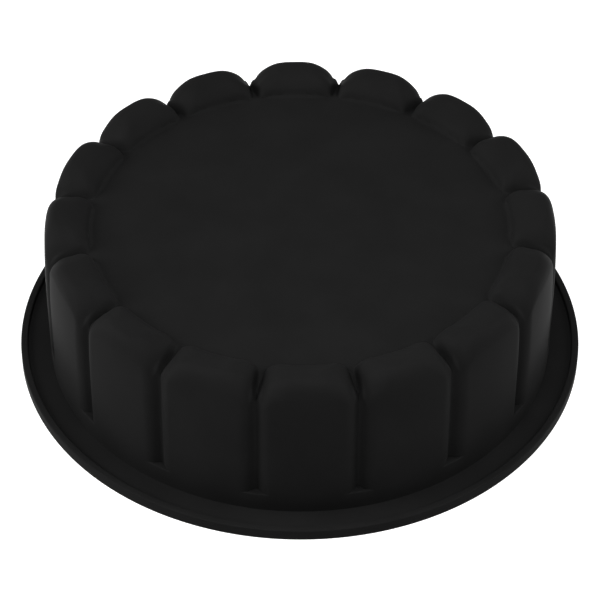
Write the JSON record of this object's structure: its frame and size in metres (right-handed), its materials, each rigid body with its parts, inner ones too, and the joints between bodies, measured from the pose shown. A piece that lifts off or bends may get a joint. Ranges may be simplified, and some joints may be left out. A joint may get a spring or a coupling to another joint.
{
  "type": "silicone cake mould",
  "caption": "Round black silicone cake mould resting on its rim: ladyfinger flutes ring a flat base panel above a collar and a beaded flange; it shapes a mousse cake or a bake.",
  "frame": {"origin": "centre of the mouth, in the plane of the rim's face, which lies on the table", "axes": "+Z along the mould's axis, from the mouth up to the closed base panel; a flute is centred on -Y, which faces the viewer"},
  "size_m": [0.26, 0.26, 0.0768],
  "materials": {
    "silicone": "satin"
  },
  "bodies": {
    "root": {"base_panel": "silicone", "flute_01": "silicone", "flute_02": "silicone", "flute_03": "silicone", "flute_04": "silicone", "flute_05": "silicone", "flute_06": "silicone", "flute_07": "silicone", "flute_08": "silicone", "flute_09": "silicone", "flute_10": "silicone", "flute_11": "silicone", "flute_12": "silicone", "flute_13": "silicone", "flute_14": "silicone", "flute_15": "silicone", "flute_16": "silicone", "foot_collar": "silicone", "rim_flange": "silicone", "rim_bead": "silicone"}
  },
  "joints": []
}
